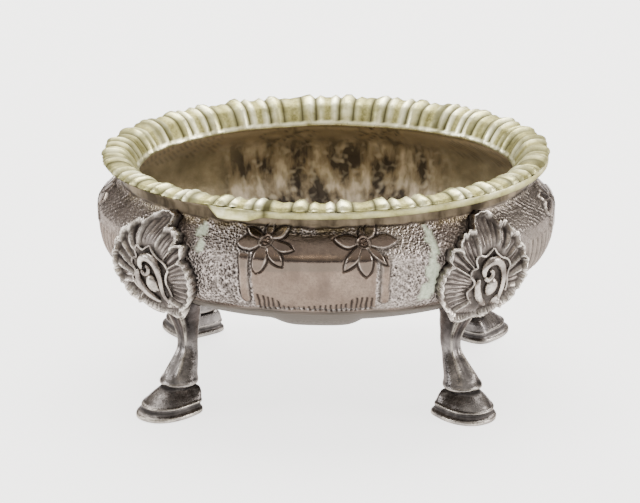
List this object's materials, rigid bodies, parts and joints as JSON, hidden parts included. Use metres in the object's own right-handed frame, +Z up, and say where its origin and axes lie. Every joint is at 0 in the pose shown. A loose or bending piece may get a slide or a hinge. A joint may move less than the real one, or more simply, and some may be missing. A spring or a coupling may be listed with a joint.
{
  "type": "salt cellar",
  "caption": "Oval footed salt cellar: a raised bowl with a turned-over gadroon border, standing on cabriole legs with shell knees and hoof feet.",
  "frame": {"origin": "on the table, under the middle of the oval bowl", "axes": "+Z up, X along the length of the oval, Y across it; the pictured long side faces -Y"},
  "size_m": [0.082, 0.064, 0.0433],
  "materials": {
    "tarnished_silver": "raised and chased silver sheet, tarnished dark in the hollows",
    "worn_gilt": "cast silver with worn pale gilding",
    "cast_leg_silver": "cast silver, dark and glossy with worn edges",
    "shell_silver": "cast silver, bright on the ribs and dark in the hollows"
  },
  "bodies": {
    "root": {"bowl": "tarnished_silver", "rim_band": "worn_gilt", "gadroon_border": "worn_gilt", "leg_front_left": "cast_leg_silver", "leg_front_right": "cast_leg_silver", "leg_rear_left": "cast_leg_silver", "leg_rear_right": "cast_leg_silver", "knee_shell_front_left": "shell_silver", "knee_shell_front_right": "shell_silver", "knee_shell_rear_left": "shell_silver", "knee_shell_rear_right": "shell_silver", "knee_scroll_front_left": "shell_silver", "knee_scroll_front_right": "shell_silver", "knee_scroll_rear_left": "shell_silver", "knee_scroll_rear_right": "shell_silver"}
  },
  "joints": []
}
